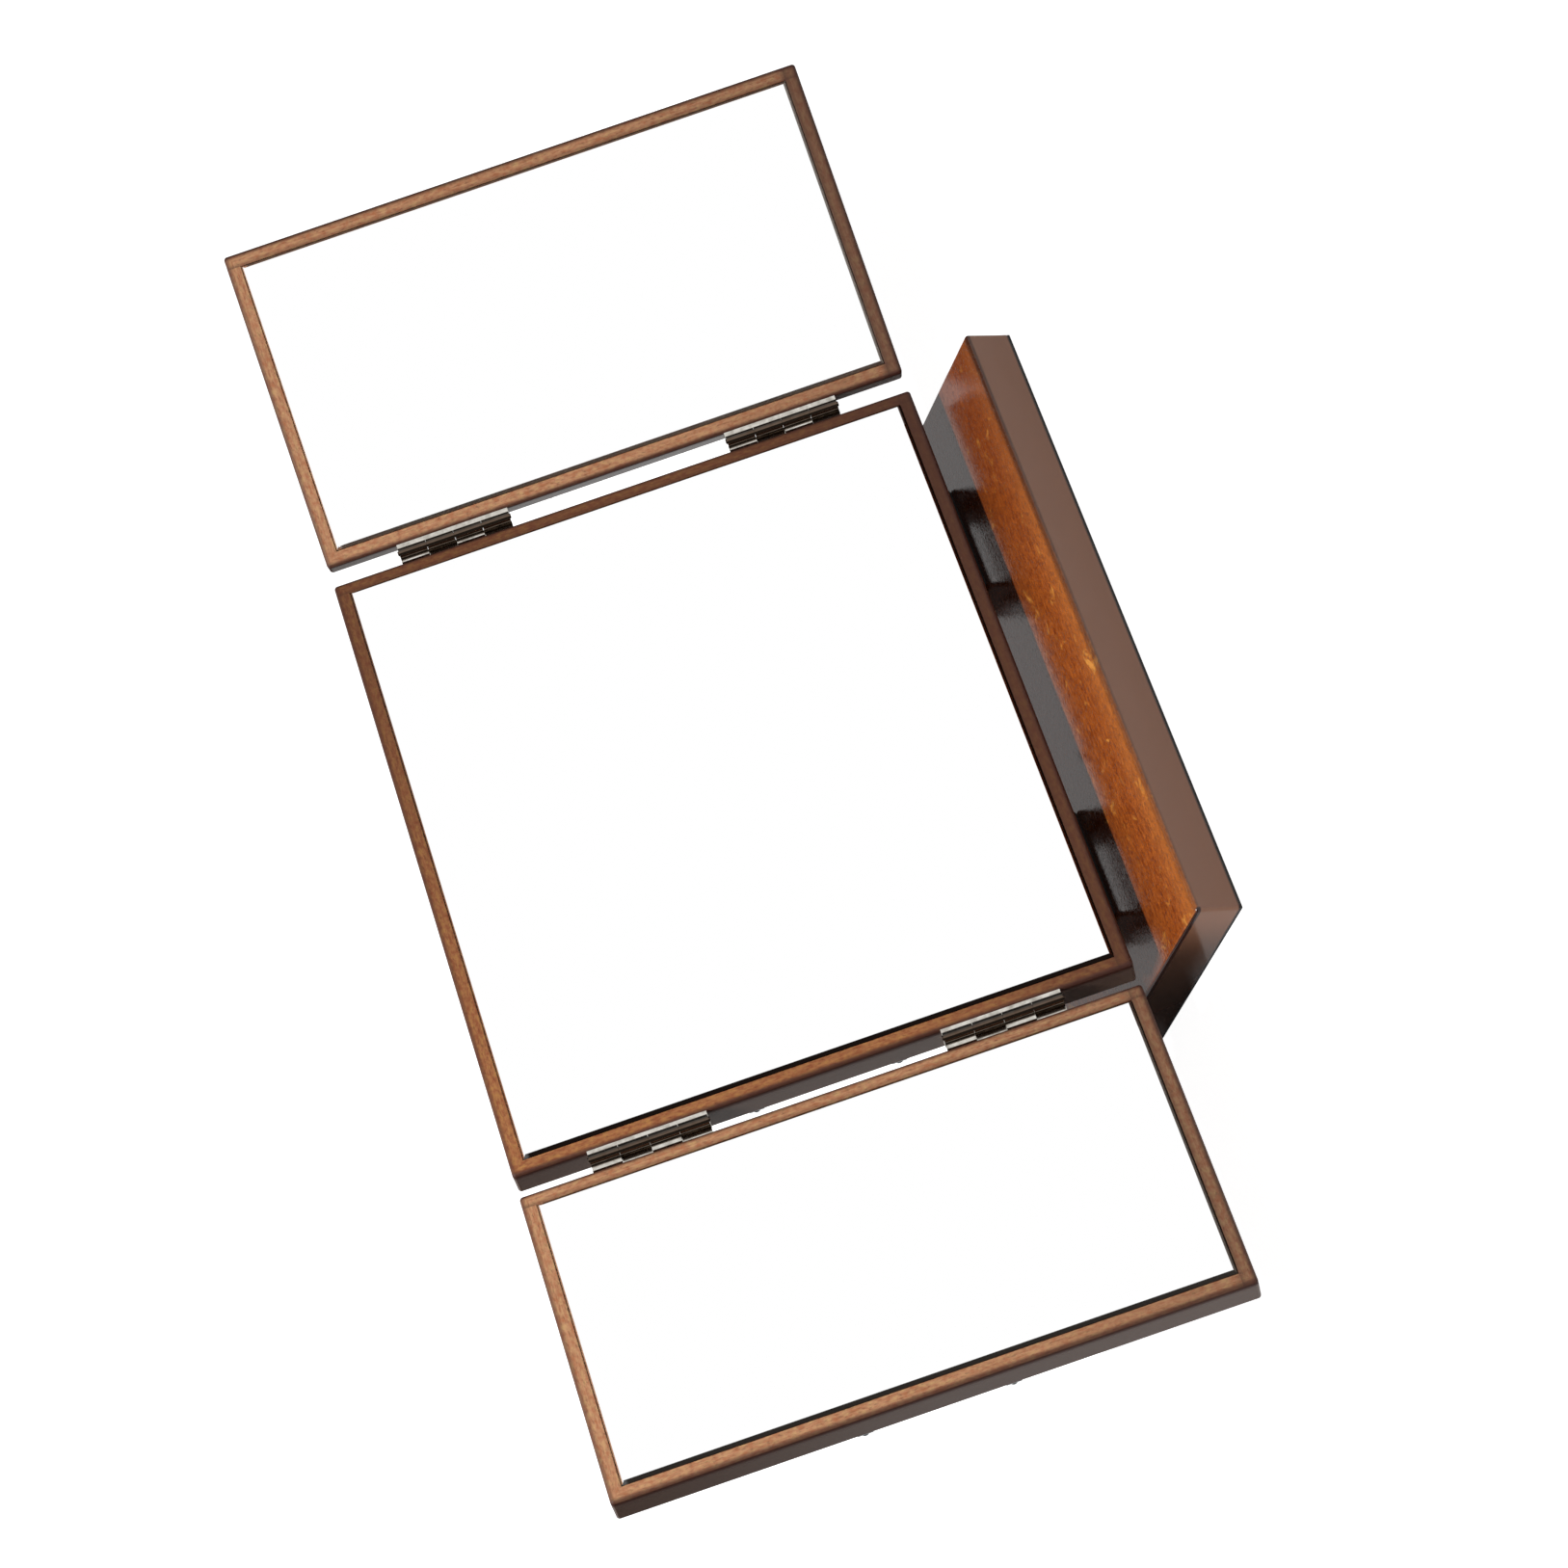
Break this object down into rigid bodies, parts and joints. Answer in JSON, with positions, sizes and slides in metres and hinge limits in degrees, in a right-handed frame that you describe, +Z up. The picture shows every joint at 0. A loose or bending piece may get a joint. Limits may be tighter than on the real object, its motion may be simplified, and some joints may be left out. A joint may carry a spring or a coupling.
{
  "type": "triptych vanity mirror",
  "caption": "Tabletop triptych mirror: a tilting framed centre mirror with a hinged mirror wing on each side, on a lacquered wooden plinth.",
  "frame": {"origin": "middle of the underside of the plinth's felt", "axes": "+Z up, +X to the right of a person who looks into the mirror, +Y away from them"},
  "size_m": [0.5997, 0.1926, 0.295],
  "materials": {
    "lacquered_base_wood": "gloss lacquer",
    "felt": "felt",
    "stained_frame_wood": "stained, satin lacquer",
    "silvered_mirror": "silvered glass",
    "backing_board": "smooth board",
    "black_painted_steel": "satin black",
    "nickel_plated_steel": "nickel plate",
    "zinc_plated_steel": "zinc plate"
  },
  "bodies": {
    "base": {"base_board": "lacquered_base_wood", "base_felt": "felt", "bracket_screws": "zinc_plated_steel", "tilt_bolt_left": "zinc_plated_steel", "tilt_bolt_right": "zinc_plated_steel", "tilt_bracket_left": "black_painted_steel", "tilt_bracket_right": "black_painted_steel", "tilt_nut_left": "zinc_plated_steel", "tilt_nut_right": "zinc_plated_steel", "tilt_washers_left": "zinc_plated_steel", "tilt_washers_right": "zinc_plated_steel"},
    "centre": {"arm_screws": "zinc_plated_steel", "centre_backing": "backing_board", "centre_bottom_rail": "stained_frame_wood", "centre_button_screws": "zinc_plated_steel", "centre_glass": "silvered_mirror", "centre_hinge_screws": "zinc_plated_steel", "centre_left_stile": "stained_frame_wood", "centre_right_stile": "stained_frame_wood", "centre_top_rail": "stained_frame_wood", "centre_turn_buttons": "zinc_plated_steel", "left_lower_hinge_centre_leaf": "nickel_plated_steel", "left_lower_hinge_pin": "nickel_plated_steel", "left_upper_hinge_centre_leaf": "nickel_plated_steel", "left_upper_hinge_pin": "nickel_plated_steel", "right_lower_hinge_centre_leaf": "nickel_plated_steel", "right_lower_hinge_pin": "nickel_plated_steel", "right_upper_hinge_centre_leaf": "nickel_plated_steel", "right_upper_hinge_pin": "nickel_plated_steel", "tilt_arm_left": "black_painted_steel", "tilt_arm_right": "black_painted_steel"},
    "left_wing": {"left_backing": "backing_board", "left_bottom_rail": "stained_frame_wood", "left_button_screws": "zinc_plated_steel", "left_glass": "silvered_mirror", "left_left_stile": "stained_frame_wood", "left_lower_hinge_wing_leaf": "nickel_plated_steel", "left_right_stile": "stained_frame_wood", "left_top_rail": "stained_frame_wood", "left_turn_buttons": "zinc_plated_steel", "left_upper_hinge_wing_leaf": "nickel_plated_steel", "left_wing_hinge_screws": "zinc_plated_steel"},
    "right_wing": {"right_backing": "backing_board", "right_bottom_rail": "stained_frame_wood", "right_button_screws": "zinc_plated_steel", "right_glass": "silvered_mirror", "right_left_stile": "stained_frame_wood", "right_lower_hinge_wing_leaf": "nickel_plated_steel", "right_right_stile": "stained_frame_wood", "right_top_rail": "stained_frame_wood", "right_turn_buttons": "zinc_plated_steel", "right_upper_hinge_wing_leaf": "nickel_plated_steel", "right_wing_hinge_screws": "zinc_plated_steel"}
  },
  "joints": [
    {"name": "tilt", "type": "hinge", "parent": "base", "child": "centre", "pos_m": [0, -0.0133, 0.0384], "axis": [1, 0, 0], "range_deg": [-17, 18]},
    {"name": "left_swing", "type": "hinge", "parent": "centre", "child": "left_wing", "pos_m": [-0.1564, -0.04656, 0.03592], "axis": [0, 0.4695, 0.8829], "range_deg": [-12.5, 177.5]},
    {"name": "right_swing", "type": "hinge", "parent": "centre", "child": "right_wing", "pos_m": [0.1558, -0.04656, 0.03592], "axis": [0, -0.4695, -0.8829], "range_deg": [-36.5, 153.5]}
  ]
}
